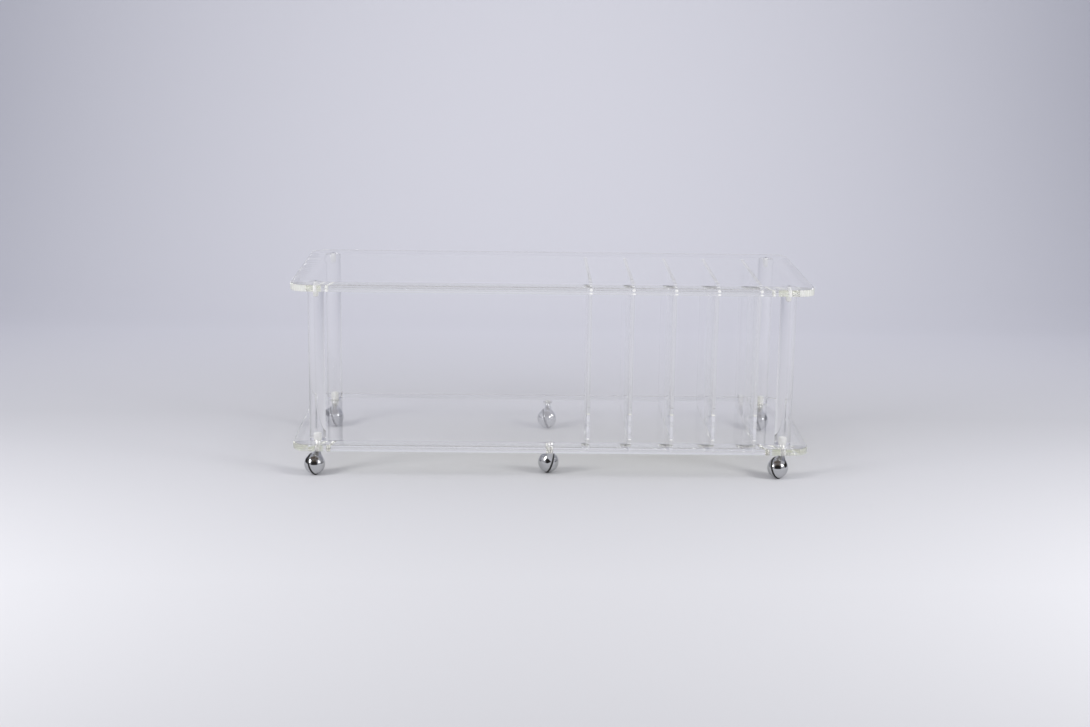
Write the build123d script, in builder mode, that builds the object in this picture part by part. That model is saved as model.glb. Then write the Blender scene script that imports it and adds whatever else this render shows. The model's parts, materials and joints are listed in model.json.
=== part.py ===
from build123d import *
from math import cos, hypot, radians, sin, sqrt
import os

# A clear acrylic magazine rack on six ball casters, built in millimetres with +Z up and the floor at z = 0.
# The front is at -Y. Sheet, rod and caster sizes are inch stock.

# Top and base panels, cut from one sheet with polished edges.
PANEL_WIDTH = 1016.0
PANEL_DEPTH = 432.0
PANEL_THICKNESS = 12.7
CORNER_RADIUS = 33.0
PANEL_ARRIS = 0.8
BASE_HEIGHT = 56.0

# Round posts, set in by the same distance from the side and the front or rear edge.
POST_DIAMETER = 31.75
POST_LENGTH = 304.8
POST_INSET = 47.0
POST_ARRIS = 0.6

# Dividers in the right half, standing front to back. The last one is set in from the panels' right-hand end.
DIVIDER_THICKNESS = 6.35
DIVIDER_DEPTH = 304.8
DIVIDER_COUNT = 5
DIVIDER_PITCH = 83.25
LAST_DIVIDER_INSET = 100.4
DIVIDER_ARRIS = 0.5

# Countersunk screws through the top panel into the posts.
SCREW_DIAMETER = 6.0
SCREW_HEAD_DIAMETER = 11.5
SCREW_HEAD_LAND = 0.5
SCREW_IN_POST = 14.0
SCREW_SOCKET_FLATS = 4.0
SCREW_SOCKET_DEPTH = 2.2

# Drilled holes: the room round a screw or stem, the room beyond its end, and the cone left by the drill.
HOLE_CLEARANCE = 0.25
HOLE_END_ROOM = 2.0
DRILL_CONE_HEIGHT = 2.0

# Caster stem, from the rivet head at its lower end up to the end in the post or in the base panel.
# The holes for the two middle casters stop below the base panel's upper face.
STEM_DIAMETER = 9.5
STEM_IN_POST = 12.0
MIDDLE_HOLE_ROOF = 2.0
STEM_TIP_CHAMFER = 1.0
FLANGE_DIAMETER = 20.0
FLANGE_THICKNESS = 2.5
JOURNAL_DIAMETER = 6.0
RIVET_DIAMETER = 7.4
RIVET_THICKNESS = 1.6

# Nylon bush that the stem turns in.
BUSH_WALL = 0.9
BUSH_FLANGE_DIAMETER = 13.0
BUSH_FLANGE_THICKNESS = 1.5
BUSH_LENGTH = 12.5
RUNNING_CLEARANCE = 0.05
END_PLAY = 0.3

# Wheel: a tilted axle, a rubber tyre round the core's rim and a chrome dome over the outer side.
TYRE_DIAMETER = 44.4
TYRE_WIDTH = 2.8
TYRE_DEPTH = 2.4
TYRE_SHOULDER = 0.9
TRAIL = 15.0
AXLE_TILT = 18.0
DOME_RADIUS = 21.2
DOME_HEIGHT = 20.5
DOME_SHOULDER = 18.4
DOME_WALL = 1.2
AXLE_DIAMETER = 5.0
AXLE_HEAD_DIAMETER = 9.0
AXLE_HEAD_THICKNESS = 1.5
AXLE_PLAY = 0.1
HUB_DIAMETER = 12.0
HUB_LENGTH = 11.0
CORE_LIGHTENING = 1.0

# Hood: a domed shell on the inner side of the wheel, with a boss for the axle and a neck for the stem.
HOOD_RADIUS = 21.2
HOOD_HEIGHT = 20.5
HOOD_SHOULDER = 17.6
HOOD_WALL = 2.0
HOOD_GAP = 0.9
HOOD_BOSS_DIAMETER = 11.0
AXLE_IN_HOOD = 13.0
NECK_DIAMETER = 10.6
NECK_DROP = 26.0
FLARE_TIP_RADIUS = 4.5
FLARE_TIP_DROP = 3.0
FLARE_WIDE_RADIUS = 12.0
FLARE_WIDE_FROM_CENTRE = (-4.5, 2.0, 7.0)
WHEEL_ROOM_RADIUS = 28.0
WHEEL_ROOM_DEPTH = 24.0

# Heights and positions that follow from the sizes above.
BASE_TOP = BASE_HEIGHT + PANEL_THICKNESS
TOP_UNDERSIDE = BASE_TOP + POST_LENGTH
TOP_SURFACE = TOP_UNDERSIDE + PANEL_THICKNESS
POST_X = PANEL_WIDTH / 2 - POST_INSET
POST_Y = PANEL_DEPTH / 2 - POST_INSET
POST_POINTS = [(-POST_X, -POST_Y), (POST_X, -POST_Y), (-POST_X, POST_Y), (POST_X, POST_Y)]
POST_NAMES = ["front_left", "front_right", "rear_left", "rear_right"]
MIDDLE_POINTS = [(0.0, -POST_Y), (0.0, POST_Y)]
STEM_HOLE_RADIUS = STEM_DIAMETER / 2 + HOLE_CLEARANCE
SCREW_HOLE_RADIUS = SCREW_DIAMETER / 2 + HOLE_CLEARANCE
HEAD_CONE_HEIGHT = (SCREW_HEAD_DIAMETER - SCREW_DIAMETER) / 2
HEAD_CONE_MIDDLE = TOP_SURFACE - SCREW_HEAD_LAND - HEAD_CONE_HEIGHT / 2
SCREW_LENGTH = PANEL_THICKNESS + SCREW_IN_POST
STEM_HOLE_END = BASE_TOP + STEM_IN_POST + HOLE_END_ROOM
MIDDLE_HOLE_DEPTH = PANEL_THICKNESS - MIDDLE_HOLE_ROOF
SCREW_HOLE_END = TOP_UNDERSIDE - SCREW_IN_POST - HOLE_END_ROOM
FIRST_DIVIDER_X = PANEL_WIDTH / 2 - LAST_DIVIDER_INSET - (DIVIDER_COUNT - 1) * DIVIDER_PITCH

# Which way each caster trails at rest, in degrees anticlockwise from +X seen from above.
CASTERS = [
    ("front_left", -POST_X, -POST_Y, -112.0),
    ("front_middle", 0.0, -POST_Y, 104.0),
    ("front_right", POST_X, -POST_Y, -126.0),
    ("rear_left", -POST_X, POST_Y, -91.0),
    ("rear_middle", 0.0, POST_Y, -98.0),
    ("rear_right", POST_X, POST_Y, -100.0),
]

os.makedirs("parts", exist_ok=True)

# Base panel, with a hole for each caster stem, right through under the posts and blind in the middle.
with BuildPart() as base_panel:
    with BuildSketch(Plane.XY.offset(BASE_HEIGHT)):
        RectangleRounded(PANEL_WIDTH, PANEL_DEPTH, CORNER_RADIUS)
    extrude(amount=PANEL_THICKNESS)
    fillet(base_panel.edges().filter_by(Plane.XY), radius=PANEL_ARRIS)
    with BuildSketch(Plane.XY.offset(BASE_HEIGHT)):
        with Locations(*POST_POINTS):
            Circle(STEM_HOLE_RADIUS)
    extrude(amount=PANEL_THICKNESS, mode=Mode.SUBTRACT)
    with BuildSketch(Plane.XY.offset(BASE_HEIGHT)):
        with Locations(*MIDDLE_POINTS):
            Circle(STEM_HOLE_RADIUS)
    extrude(amount=MIDDLE_HOLE_DEPTH, mode=Mode.SUBTRACT)
base_panel.part.label = "base_panel"
export_step(base_panel.part, "parts/base_panel.step")

# Top panel, with a countersunk hole over each post.
with BuildPart() as top_panel:
    with BuildSketch(Plane.XY.offset(TOP_UNDERSIDE)):
        RectangleRounded(PANEL_WIDTH, PANEL_DEPTH, CORNER_RADIUS)
    extrude(amount=PANEL_THICKNESS)
    fillet(top_panel.edges().filter_by(Plane.XY), radius=PANEL_ARRIS)
    with BuildSketch(Plane.XY.offset(TOP_UNDERSIDE)):
        with Locations(*POST_POINTS):
            Circle(SCREW_HOLE_RADIUS)
    extrude(amount=PANEL_THICKNESS, mode=Mode.SUBTRACT)
    with Locations(*[(x, y, TOP_SURFACE - SCREW_HEAD_LAND / 2) for x, y in POST_POINTS]):
        Cylinder(SCREW_HEAD_DIAMETER / 2, SCREW_HEAD_LAND, mode=Mode.SUBTRACT)
    with Locations(*[(x, y, HEAD_CONE_MIDDLE) for x, y in POST_POINTS]):
        Cone(SCREW_DIAMETER / 2, SCREW_HEAD_DIAMETER / 2, HEAD_CONE_HEIGHT, mode=Mode.SUBTRACT)
top_panel.part.label = "top_panel"
export_step(top_panel.part, "parts/top_panel.step")

# Post, drilled from both ends, drawn on its own axis and then set at each corner.
with BuildPart() as post:
    with BuildSketch(Plane.XZ):
        with BuildLine():
            Polyline(
                (0, BASE_TOP),
                (POST_DIAMETER / 2, BASE_TOP),
                (POST_DIAMETER / 2, TOP_UNDERSIDE),
                (0, TOP_UNDERSIDE),
                close=True,
            )
        make_face()
    revolve(axis=Axis.Z)
    chamfer(post.edges().filter_by(GeomType.CIRCLE), length=POST_ARRIS)
    with BuildSketch(Plane.XZ):
        with BuildLine():
            Polyline(
                (0, BASE_TOP),
                (STEM_HOLE_RADIUS, BASE_TOP),
                (STEM_HOLE_RADIUS, STEM_HOLE_END),
                (0, STEM_HOLE_END + DRILL_CONE_HEIGHT),
                close=True,
            )
        make_face()
        with BuildLine():
            Polyline(
                (0, TOP_UNDERSIDE),
                (SCREW_HOLE_RADIUS, TOP_UNDERSIDE),
                (SCREW_HOLE_RADIUS, SCREW_HOLE_END),
                (0, SCREW_HOLE_END - DRILL_CONE_HEIGHT),
                close=True,
            )
        make_face()
    revolve(axis=Axis.Z, mode=Mode.SUBTRACT)

for post_name, post_point in zip(POST_NAMES, POST_POINTS):
    with BuildPart() as placed_post:
        with Locations(post_point):
            add(post.part)
    placed_post.part.label = f"post_{post_name}"
    export_step(placed_post.part, f"parts/post_{post_name}.step")

# Dividers, from the first one right of the middle to the last one beside the right-hand posts.
for divider_index in range(DIVIDER_COUNT):
    divider_x = FIRST_DIVIDER_X + divider_index * DIVIDER_PITCH
    divider_plane = Plane.XY.offset(BASE_TOP).shift_origin((divider_x, 0, BASE_TOP))
    with BuildPart() as divider:
        with BuildSketch(divider_plane):
            RectangleRounded(DIVIDER_THICKNESS, DIVIDER_DEPTH, DIVIDER_ARRIS)
        extrude(amount=POST_LENGTH)
    divider.part.label = f"divider_{divider_index + 1}"
    export_step(divider.part, f"parts/divider_{divider_index + 1}.step")

# Four countersunk screws, flush with the top surface, each with a hexagon socket.
with BuildPart() as top_screws:
    with BuildSketch(Plane.XY.offset(TOP_SURFACE - SCREW_LENGTH)):
        with Locations(*POST_POINTS):
            Circle(SCREW_DIAMETER / 2)
    extrude(amount=SCREW_LENGTH)
    with Locations(*[(x, y, HEAD_CONE_MIDDLE) for x, y in POST_POINTS]):
        Cone(SCREW_DIAMETER / 2, SCREW_HEAD_DIAMETER / 2, HEAD_CONE_HEIGHT)
    with BuildSketch(Plane.XY.offset(TOP_SURFACE - SCREW_HEAD_LAND)):
        with Locations(*POST_POINTS):
            Circle(SCREW_HEAD_DIAMETER / 2)
    extrude(amount=SCREW_HEAD_LAND)
    with BuildSketch(Plane.XY.offset(TOP_SURFACE - SCREW_SOCKET_DEPTH)):
        with Locations(*POST_POINTS):
            RegularPolygon(SCREW_SOCKET_FLATS / 2, 6, major_radius=False)
    extrude(amount=SCREW_SOCKET_DEPTH, mode=Mode.SUBTRACT)
top_screws.part.label = "top_screws"
export_step(top_screws.part, "parts/top_screws.step")

# One caster is drawn with its stem on the Z axis and the wheel trailing towards +X.
# The axle runs from the hood out to the wheel, down to the side at -Y.
TYRE_RADIUS = TYRE_DIAMETER / 2
TYRE_CROWN = TYRE_WIDTH / 2
TYRE_START = HOOD_GAP / 2
TYRE_END = TYRE_START + TYRE_WIDTH
CORE_RADIUS = TYRE_RADIUS - TYRE_DEPTH
TILT_SINE = sin(radians(AXLE_TILT))
TILT_COSINE = cos(radians(AXLE_TILT))
TYRE_MIDDLE = TYRE_START + TYRE_CROWN
CROWN_CENTRE = TYRE_RADIUS - TYRE_CROWN
WHEEL_HEIGHT = TYRE_MIDDLE * TILT_SINE + CROWN_CENTRE * TILT_COSINE + TYRE_CROWN
WHEEL_CENTRE = (TRAIL, 0.0, WHEEL_HEIGHT)
AXLE = Axis(WHEEL_CENTRE, (0.0, -TILT_COSINE, -TILT_SINE))
# Sketches on this plane have the distance from the axle across and the distance out along the axle upwards.
AXLE_PLANE = Plane(origin=WHEEL_CENTRE, x_dir=(1, 0, 0), z_dir=(0, TILT_SINE, -TILT_COSINE))

# Heights up the stem.
FLANGE_BOTTOM = BASE_HEIGHT - FLANGE_THICKNESS
NECK_TOP = FLANGE_BOTTOM - BUSH_FLANGE_THICKNESS
BUSH_BOTTOM = NECK_TOP - BUSH_LENGTH
RIVET_TOP = BUSH_BOTTOM - END_PLAY
RIVET_BOTTOM = RIVET_TOP - RIVET_THICKNESS
NECK_BORE_BOTTOM = RIVET_BOTTOM - END_PLAY
BUSH_INNER_RADIUS = JOURNAL_DIAMETER / 2 + RUNNING_CLEARANCE
BUSH_OUTER_RADIUS = BUSH_INNER_RADIUS + BUSH_WALL
HUB_START = -HOOD_GAP / 2
AXLE_BORE_RADIUS = AXLE_DIAMETER / 2 + RUNNING_CLEARANCE
AXLE_END = HUB_START - AXLE_IN_HOOD
HUB_END = HUB_START + HUB_LENGTH
AXLE_SHOULDER = HUB_END + AXLE_PLAY


def half_dome(radius, height, shoulder, face):
    """Half section of a dome, from its open face up to its crown, with a round shoulder between side and crown."""
    shoulder_x = radius - shoulder
    crown_radius = (shoulder_x**2 + height**2 - shoulder**2) / (2 * (height - shoulder))
    crown_y = height - crown_radius
    reach = shoulder / hypot(shoulder_x, crown_y)
    rim = (shoulder_x + sqrt(shoulder**2 - face**2), face)
    blend = (shoulder_x + shoulder_x * reach, -crown_y * reach)
    with BuildSketch() as section:
        with BuildLine():
            RadiusArc(rim, blend, -shoulder)
            RadiusArc(blend, (0, height), -crown_radius)
            Polyline((0, height), (0, face), rim)
        make_face()
    return section.sketch


# Hood: the domed shell with its axle boss, then the neck, cut back level with the shell's open face.
# Its sections are drawn on a plane that has the distance in along the axle upwards.
HOOD_PLANE = Plane(origin=WHEEL_CENTRE, x_dir=(1, 0, 0), z_dir=(0, -TILT_SINE, TILT_COSINE))
HOOD_FACE = HOOD_GAP / 2
# A tapered flare leads from the shell up to the neck.
FLARE_WIDE_END = Vector(WHEEL_CENTRE) + Vector(FLARE_WIDE_FROM_CENTRE)
FLARE_RISE = Vector(0, 0, NECK_TOP - FLARE_TIP_DROP) - FLARE_WIDE_END
FLARE_LENGTH = FLARE_RISE.length
FLARE_PLANE = Plane(origin=FLARE_WIDE_END, z_dir=FLARE_RISE)
hood_outside = half_dome(HOOD_RADIUS, HOOD_HEIGHT, HOOD_SHOULDER, HOOD_FACE)
hood_inside = half_dome(HOOD_RADIUS - HOOD_WALL, HOOD_HEIGHT - HOOD_WALL, HOOD_SHOULDER - HOOD_WALL, HOOD_FACE)
with BuildPart() as hood:
    with BuildSketch(HOOD_PLANE):
        add(hood_outside)
        add(hood_inside, mode=Mode.SUBTRACT)
        with Locations((0, HOOD_FACE)):
            Rectangle(HOOD_BOSS_DIAMETER / 2, HOOD_HEIGHT - HOOD_WALL, align=(Align.MIN, Align.MIN))
    revolve(axis=AXLE)
    with BuildSketch(Plane.XY.offset(NECK_TOP)):
        Circle(NECK_DIAMETER / 2)
    extrude(amount=-NECK_DROP)
    with Locations((0, 0, NECK_TOP - NECK_DROP)):
        Sphere(NECK_DIAMETER / 2)
    with Locations(FLARE_PLANE):
        Cone(FLARE_WIDE_RADIUS, FLARE_TIP_RADIUS, FLARE_LENGTH, align=(Align.CENTER, Align.CENTER, Align.MIN))
    with BuildSketch(HOOD_PLANE):
        with Locations((0, HOOD_FACE)):
            Rectangle(WHEEL_ROOM_RADIUS, WHEEL_ROOM_DEPTH, align=(Align.MIN, Align.MAX))
            Rectangle(AXLE_DIAMETER / 2, AXLE_IN_HOOD, align=(Align.MIN, Align.MIN))
    revolve(axis=AXLE, mode=Mode.SUBTRACT)
    with BuildSketch(Plane.XY.offset(NECK_TOP)):
        Circle(BUSH_OUTER_RADIUS)
    extrude(amount=NECK_BORE_BOTTOM - NECK_TOP, mode=Mode.SUBTRACT)

# Bush in the neck, with a flange that the stem's flange bears on.
with BuildPart() as bush:
    with BuildSketch(Plane.XY.offset(BUSH_BOTTOM)):
        Circle(BUSH_OUTER_RADIUS)
    extrude(amount=BUSH_LENGTH)
    with BuildSketch(Plane.XY.offset(NECK_TOP)):
        Circle(BUSH_FLANGE_DIAMETER / 2)
    extrude(amount=BUSH_FLANGE_THICKNESS)
    with BuildSketch(Plane.XY.offset(BUSH_BOTTOM)):
        Circle(BUSH_INNER_RADIUS)
    extrude(amount=BUSH_LENGTH + BUSH_FLANGE_THICKNESS, mode=Mode.SUBTRACT)

# Axle pin, held in the hood's boss, with a head inside the wheel's dome.
with BuildPart() as axle:
    with BuildSketch(AXLE_PLANE):
        with Locations((0, AXLE_END)):
            Rectangle(AXLE_DIAMETER / 2, AXLE_SHOULDER - AXLE_END, align=(Align.MIN, Align.MIN))
        with Locations((0, AXLE_SHOULDER)):
            Rectangle(AXLE_HEAD_DIAMETER / 2, AXLE_HEAD_THICKNESS, align=(Align.MIN, Align.MIN))
    revolve(axis=AXLE)

# Wheel core: a disc with a long hub that turns on the axle.
with BuildPart() as core:
    with BuildSketch(AXLE_PLANE):
        with Locations((0, TYRE_START)):
            Rectangle(CORE_RADIUS, TYRE_WIDTH, align=(Align.MIN, Align.MIN))
        with Locations((0, HUB_START)):
            Rectangle(HUB_DIAMETER / 2, HUB_LENGTH, align=(Align.MIN, Align.MIN))
            Rectangle(AXLE_BORE_RADIUS, HUB_LENGTH, align=(Align.MIN, Align.MIN), mode=Mode.SUBTRACT)
        with Locations(((CORE_RADIUS + HUB_DIAMETER / 2) / 2, TYRE_START)):
            Rectangle(
                (CORE_RADIUS - HUB_DIAMETER / 2) / 2,
                CORE_LIGHTENING,
                align=(Align.CENTER, Align.MIN),
                mode=Mode.SUBTRACT,
            )
    revolve(axis=AXLE)

# Rubber tyre round the core's rim, rounded across the tread.
with BuildPart() as tyre:
    with BuildSketch(AXLE_PLANE):
        with Locations((CROWN_CENTRE, TYRE_MIDDLE)):
            Circle(TYRE_CROWN)
        with Locations((CORE_RADIUS, TYRE_START)):
            Rectangle(TYRE_SHOULDER, TYRE_WIDTH, align=(Align.MIN, Align.MIN))
            Rectangle(TYRE_DEPTH, TYRE_WIDTH, align=(Align.MIN, Align.MIN), mode=Mode.INTERSECT)
    revolve(axis=AXLE)

# Chrome dome, a pressed shell seated on the core's outer face.
dome_outside = half_dome(DOME_RADIUS, DOME_HEIGHT, DOME_SHOULDER, TYRE_END)
dome_inside = half_dome(DOME_RADIUS - DOME_WALL, DOME_HEIGHT - DOME_WALL, DOME_SHOULDER - DOME_WALL, TYRE_END)
with BuildPart() as dome:
    with BuildSketch(AXLE_PLANE):
        add(dome_outside)
        add(dome_inside, mode=Mode.SUBTRACT)
    revolve(axis=AXLE)

# Stem: the upper end is longer where it goes on through the base panel into a post.
for caster_name, caster_x, caster_y, caster_turn in CASTERS:
    stem_rise = MIDDLE_HOLE_DEPTH - HOLE_END_ROOM
    if caster_x != 0.0:
        stem_rise = PANEL_THICKNESS + STEM_IN_POST
    with BuildPart() as stem:
        with BuildSketch(Plane.XY.offset(BASE_HEIGHT)):
            Circle(STEM_DIAMETER / 2)
        extrude(amount=stem_rise)
        chamfer(stem.edges().group_by(Axis.Z)[-1], length=STEM_TIP_CHAMFER)
        with BuildSketch(Plane.XY.offset(FLANGE_BOTTOM)):
            Circle(FLANGE_DIAMETER / 2)
        extrude(amount=FLANGE_THICKNESS)
        with BuildSketch(Plane.XY.offset(RIVET_BOTTOM)):
            Circle(JOURNAL_DIAMETER / 2)
        extrude(amount=FLANGE_BOTTOM - RIVET_BOTTOM)
        with BuildSketch(Plane.XY.offset(RIVET_BOTTOM)):
            Circle(RIVET_DIAMETER / 2)
        extrude(amount=RIVET_THICKNESS)
    caster_place = Location((caster_x, caster_y, 0.0), (0.0, 0.0, caster_turn))
    caster_pieces = {
        "stem": stem,
        "bush": bush,
        "hood": hood,
        "axle": axle,
        "core": core,
        "tyre": tyre,
        "dome": dome,
    }
    for piece_name, piece in caster_pieces.items():
        node_name = f"caster_{caster_name}_{piece_name}"
        with BuildPart() as placed_piece:
            with Locations(caster_place):
                add(piece.part)
        placed_piece.part.label = node_name
        export_step(placed_piece.part, f"parts/{node_name}.step")
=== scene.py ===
import json
import math

import bmesh
import bpy
import numpy as np
from mathutils import Matrix, Vector


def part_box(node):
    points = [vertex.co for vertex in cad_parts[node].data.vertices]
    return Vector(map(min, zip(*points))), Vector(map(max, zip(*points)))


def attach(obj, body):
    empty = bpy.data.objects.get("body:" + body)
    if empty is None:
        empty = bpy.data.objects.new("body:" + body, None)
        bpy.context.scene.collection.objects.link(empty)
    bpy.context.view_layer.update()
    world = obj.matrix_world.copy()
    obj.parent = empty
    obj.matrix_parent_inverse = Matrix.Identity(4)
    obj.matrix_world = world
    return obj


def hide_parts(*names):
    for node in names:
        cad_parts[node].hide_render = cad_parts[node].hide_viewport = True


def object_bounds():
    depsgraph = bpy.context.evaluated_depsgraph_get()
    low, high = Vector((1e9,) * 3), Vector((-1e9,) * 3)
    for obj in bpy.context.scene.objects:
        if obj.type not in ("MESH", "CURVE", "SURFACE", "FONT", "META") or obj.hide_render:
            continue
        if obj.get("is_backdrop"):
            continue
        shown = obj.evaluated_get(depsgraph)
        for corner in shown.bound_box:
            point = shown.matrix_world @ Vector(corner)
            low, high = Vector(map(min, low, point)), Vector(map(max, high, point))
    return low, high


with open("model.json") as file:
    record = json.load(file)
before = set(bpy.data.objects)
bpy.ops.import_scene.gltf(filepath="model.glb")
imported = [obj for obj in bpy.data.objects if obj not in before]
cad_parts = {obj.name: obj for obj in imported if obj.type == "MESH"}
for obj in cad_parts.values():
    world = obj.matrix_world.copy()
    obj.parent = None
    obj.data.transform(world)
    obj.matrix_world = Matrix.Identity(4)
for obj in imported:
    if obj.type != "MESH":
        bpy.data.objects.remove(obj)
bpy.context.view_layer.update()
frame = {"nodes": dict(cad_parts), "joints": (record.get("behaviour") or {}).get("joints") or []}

# Base panel: the lower sheet of clear cast acrylic, half an inch thick, with round corners.
# Its straight edges are scraped and flame polished, and its routed corners are rubbed down and whitened as a
# painted highlight.
# It is drilled from below for the caster stems: through under the posts, and blind for the two in the middle.
MM = 0.001
SHEET_ARRIS = 0.8 * MM
SHEET_CORNER = 33.0 * MM
CORNER_STEPS = 28
ARRIS_STEPS = 3
HOLE_STEPS = 64
SHARP_ANGLE = math.radians(26)
QUARTER_TURN = math.radians(90)
TINY = 1e-7
HOLE_SLOT = 1
CORNER_SLOT = 2


def link_piece(name, mesh):
    """A new object for a mesh, shaded smooth between its sharp edges."""
    mesh.polygons.foreach_set("use_smooth", [True] * len(mesh.polygons))
    mesh.set_sharp_from_angle(angle=SHARP_ANGLE)
    piece = bpy.data.objects.new(name, mesh)
    bpy.context.scene.collection.objects.link(piece)
    return piece


def finished_mesh(work, name):
    """The mesh of what has been worked on."""
    mesh = bpy.data.meshes.new(name)
    work.to_mesh(mesh)
    work.free()
    return mesh


def ring(work, x, y, radius, height, steps):
    """A ring of points round an upright axis."""
    turns = [math.tau * i / steps for i in range(steps)]
    return [work.verts.new((x + radius * math.cos(t), y + radius * math.sin(t), height)) for t in turns]


def join_rings(work, lower, upper, slot=0):
    """Faces between two closed rings with the same number of points."""
    count = len(lower)
    faces = []
    for i in range(count):
        j = (i + 1) % count
        face = work.faces.new((lower[i], lower[j], upper[j], upper[i]))
        face.material_index = slot
        faces.append(face)
    return faces


def corner_outline(half_width, half_depth, radius):
    """Points round a rectangle with round corners, anticlockwise from above."""
    points = []
    for turn, (side, face) in enumerate(((1, 1), (-1, 1), (-1, -1), (1, -1))):
        for step in range(CORNER_STEPS + 1):
            angle = QUARTER_TURN * (turn + step / CORNER_STEPS)
            x = side * (half_width - radius) + radius * math.cos(angle)
            y = face * (half_depth - radius) + radius * math.sin(angle)
            points.append((x, y))
    return points


def arris_levels(bottom, top, arris):
    """Insets and heights up an edge whose two arrises are rounded."""
    levels = []
    for step in range(ARRIS_STEPS + 1):
        angle = QUARTER_TURN * step / ARRIS_STEPS
        levels.append((arris * (1 - math.sin(angle)), bottom + arris * (1 - math.cos(angle))))
    return levels + [(inset, bottom + top - height) for inset, height in reversed(levels)]


def cut_sheet(name, low, high, holes):
    """A flat sheet with round corners. A hole is its centre and its (radius, height) steps up from below."""
    work = bmesh.new()
    centre = (low + high) / 2
    half = (high - low) / 2
    rims = []
    for inset, height in arris_levels(low.z, high.z, SHEET_ARRIS):
        outline = corner_outline(half.x - inset, half.y - inset, SHEET_CORNER - inset)
        rims.append([work.verts.new((centre.x + x, centre.y + y, height)) for x, y in outline])
    for lower, upper in zip(rims, rims[1:]):
        for number, face in enumerate(join_rings(work, lower, upper)):
            if number % (CORNER_STEPS + 1) < CORNER_STEPS:
                face.material_index = CORNER_SLOT
    for (x, y), steps in holes:
        drilled = [ring(work, x, y, radius, height, HOLE_STEPS) for radius, height in steps]
        for lower, upper in zip(drilled, drilled[1:]):
            join_rings(work, lower, upper, HOLE_SLOT)
        if steps[-1][1] < high.z:
            blind_end = work.faces.new(drilled[-1])
            blind_end.material_index = HOLE_SLOT
    for height in (low.z, high.z):
        rim = [e for e in work.edges if e.is_boundary and abs(e.verts[0].co.z - height) < TINY]
        bmesh.ops.triangle_fill(work, use_beauty=True, edges=rim)
    bmesh.ops.recalc_face_normals(work, faces=work.faces)
    return link_piece(name, finished_mesh(work, name))


class Wire:
    """A socket in a material. Sums on wires add Math nodes, and node() adds any other node."""

    def __init__(self, tree, socket=None):
        self.tree = tree
        self.socket = socket

    def node(self, kind, settings=None, sockets=None, output=0):
        made = self.tree.nodes.new(kind)
        for name, value in (settings or {}).items():
            if name == "stops":
                ramp = made.color_ramp.elements
                while len(ramp) < len(value):
                    ramp.new(1.0)
                for stop, (position, colour) in zip(ramp, value):
                    stop.position = position
                    stop.color = colour
            else:
                setattr(made, name, value)
        for name, value in (sockets or {}).items():
            if isinstance(value, Wire):
                self.tree.links.new(value.socket, made.inputs[name])
            else:
                made.inputs[name].default_value = value
        return Wire(self.tree, made.outputs[output] if made.outputs else None)

    def sum(self, operation, first, second):
        return self.node("ShaderNodeMath", {"operation": operation}, {0: first, 1: second})

    def __add__(self, other):
        return self.sum("ADD", self, other)

    def __radd__(self, other):
        return self.sum("ADD", other, self)

    def __sub__(self, other):
        return self.sum("SUBTRACT", self, other)

    def __rsub__(self, other):
        return self.sum("SUBTRACT", other, self)

    def __mul__(self, other):
        return self.sum("MULTIPLY", self, other)

    def __rmul__(self, other):
        return self.sum("MULTIPLY", other, self)

    def __gt__(self, other):
        return self.sum("GREATER_THAN", self, other)


def new_finish(name):
    """An empty node material, and the wire that its nodes are added with."""
    material = bpy.data.materials.new(name)
    material.use_nodes = True
    material.node_tree.nodes.clear()
    return material, Wire(material.node_tree)


def object_place(wire):
    return wire.node("ShaderNodeTexCoord", None, None, "Object")


def noise(wire, place, scale, detail=2.0, rough=0.5):
    """Soft random patches, as many to the metre as the scale says."""
    return wire.node(
        "ShaderNodeTexNoise", {"noise_dimensions": "3D"},
        {"Vector": place, "Scale": scale, "Detail": detail, "Roughness": rough}, "Fac")


def streaks(wire, place, scale, detail, turn=(0.0, 0.0, 0.0)):
    """Noise drawn out into streaks: the scale along each axis says how many to the metre."""
    drawn = wire.node("ShaderNodeMapping", None, {"Vector": place, "Rotation": turn, "Scale": scale})
    return noise(wire, drawn, 1.0, detail)


def fade(wire, value, low, high):
    """Maps a value from its range on to nought to one, held at both ends."""
    return wire.node(
        "ShaderNodeMapRange", {"clamp": True},
        {"Value": value, "From Min": low, "From Max": high, "To Min": 0.0, "To Max": 1.0})


def bump(wire, height, distance):
    return wire.node("ShaderNodeBump", None, {"Height": height, "Distance": distance, "Strength": 1.0})


def lights_room(wire):
    """One for light on its way to the paper and other matt things, which passes straight through acrylic."""
    shadow = wire.node("ShaderNodeLightPath", None, None, "Is Shadow Ray")
    matt = wire.node("ShaderNodeLightPath", None, None, "Is Diffuse Ray")
    return wire.sum("MAXIMUM", shadow, matt)


ACRYLIC_IOR = 1.491
ACRYLIC_TINT = (0.90, 0.925, 0.72, 1.0)
ACRYLIC_DENSITY = 0.3
ACRYLIC_SHADOW = (0.95, 0.95, 0.935, 1.0)
CASTING_WAVES = 9.0
HAIRLINES = (14.0, 900.0, 900.0)
CROSSING_LINES = (700.0, 30.0, 700.0)
HAND_SMEARS = 16.0
RELIEF = 0.002
RELIEF_DEPTH = 0.6 * MM
POLISHED_ROUGH = 0.004
SMEAR_ROUGH = 0.012
SCRATCH_ROUGH = 0.02
LEVEL_FACE = 0.5


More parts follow.
